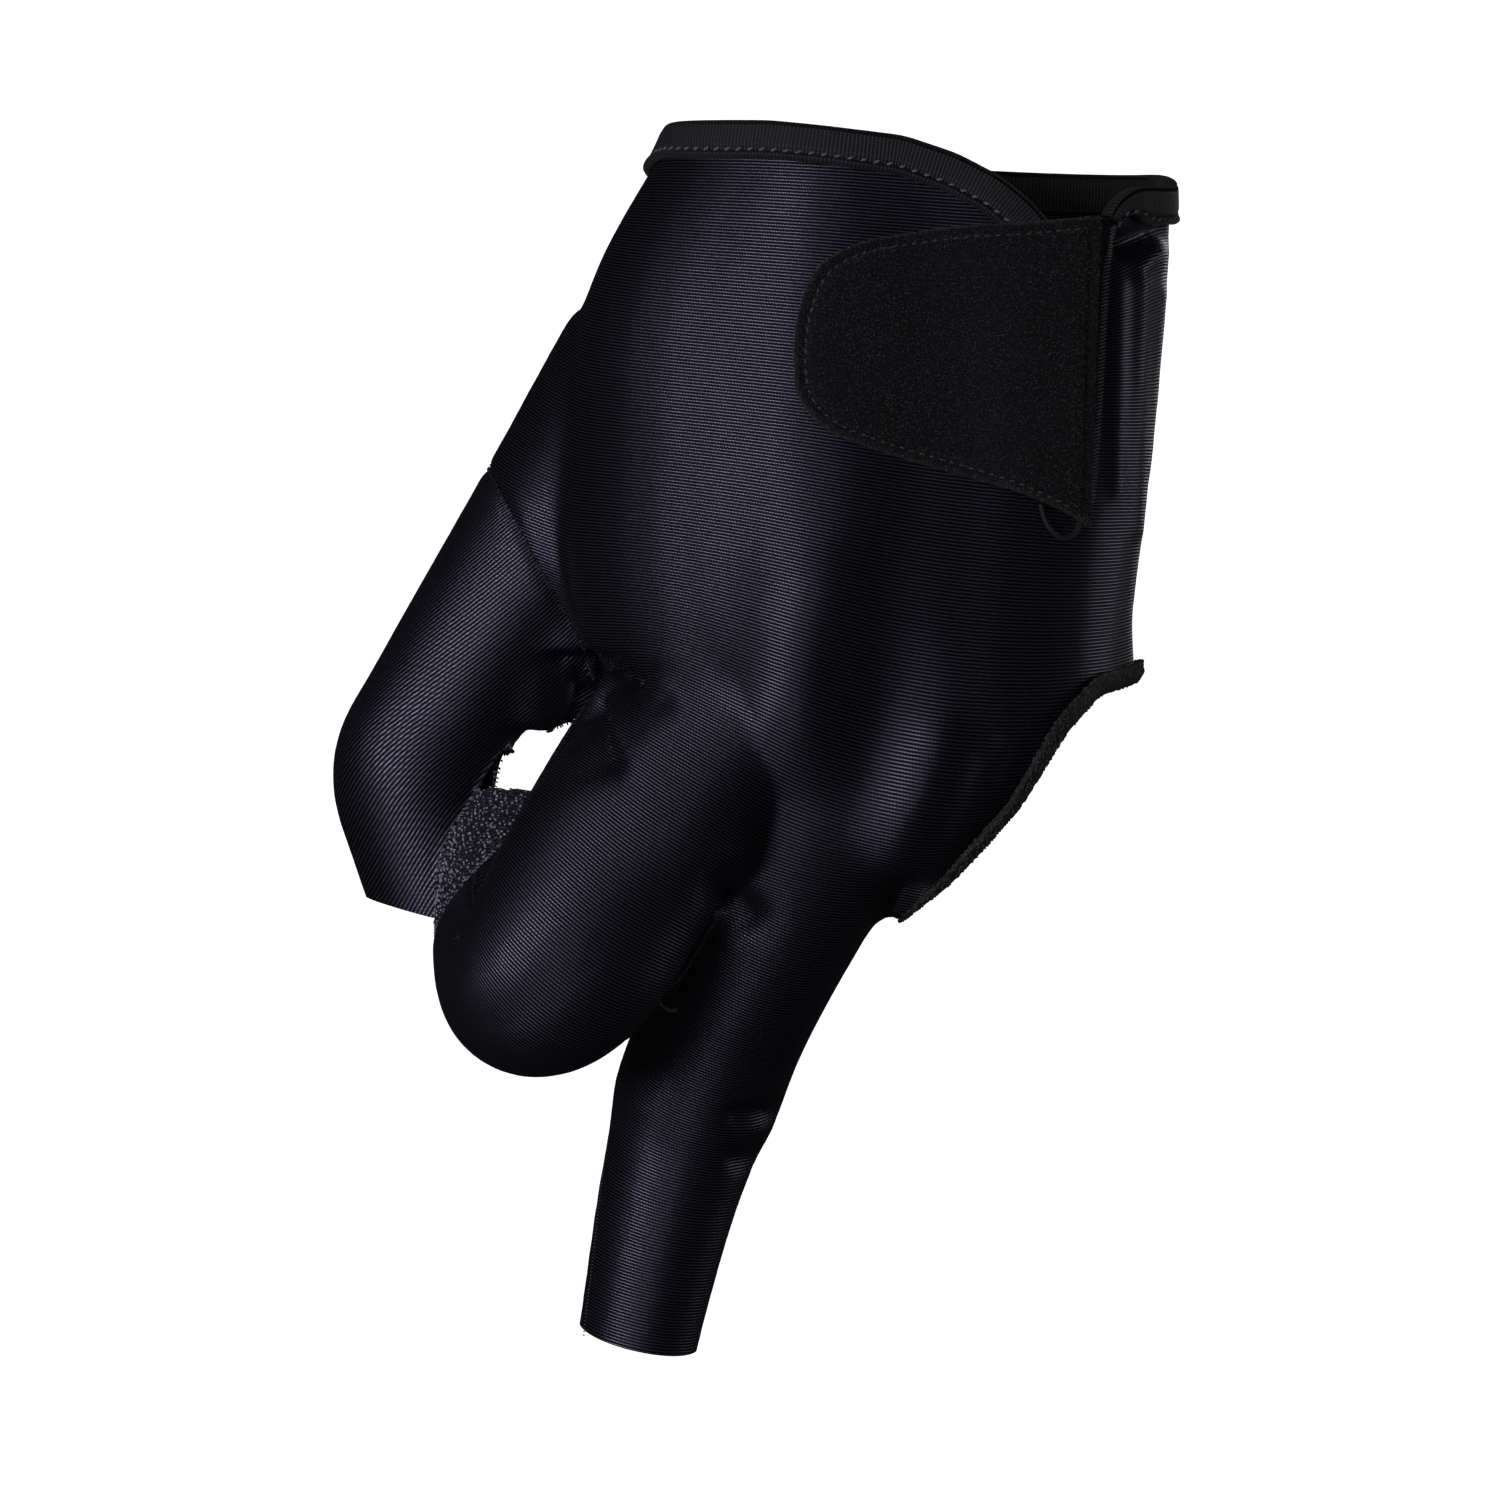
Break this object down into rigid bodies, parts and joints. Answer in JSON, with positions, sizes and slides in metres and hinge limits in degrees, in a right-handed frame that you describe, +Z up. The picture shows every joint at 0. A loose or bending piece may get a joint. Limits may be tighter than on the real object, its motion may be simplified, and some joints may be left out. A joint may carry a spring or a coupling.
{
  "type": "billiard glove",
  "caption": "Billiard glove for the left hand, held in a closed bridge, with sleeves for thumb, index and middle finger and a strap tab over a slit at the wrist.",
  "frame": {"origin": "middle of the wrist opening", "axes": "+Z up the forearm, +X from the thumb side to the little finger side, the back of the hand faces -Y"},
  "size_m": [0.1166, 0.0612, 0.1706],
  "materials": {
    "satin_knit": "satin stretch knit, near black navy",
    "grip_knit": "looped knit with small raised dots",
    "binding_tape": "ribbed folded tape",
    "brushed_velour": "brushed pile"
  },
  "bodies": {
    "root": {"back_panel": "satin_knit", "palm_panel": "satin_knit", "thumb_sleeve": "satin_knit", "index_grip_panel": "grip_knit", "wrist_binding": "binding_tape", "slit_binding": "binding_tape", "finger_opening_binding": "binding_tape", "strap_tab": "brushed_velour", "slit_loop": "binding_tape"}
  },
  "joints": []
}
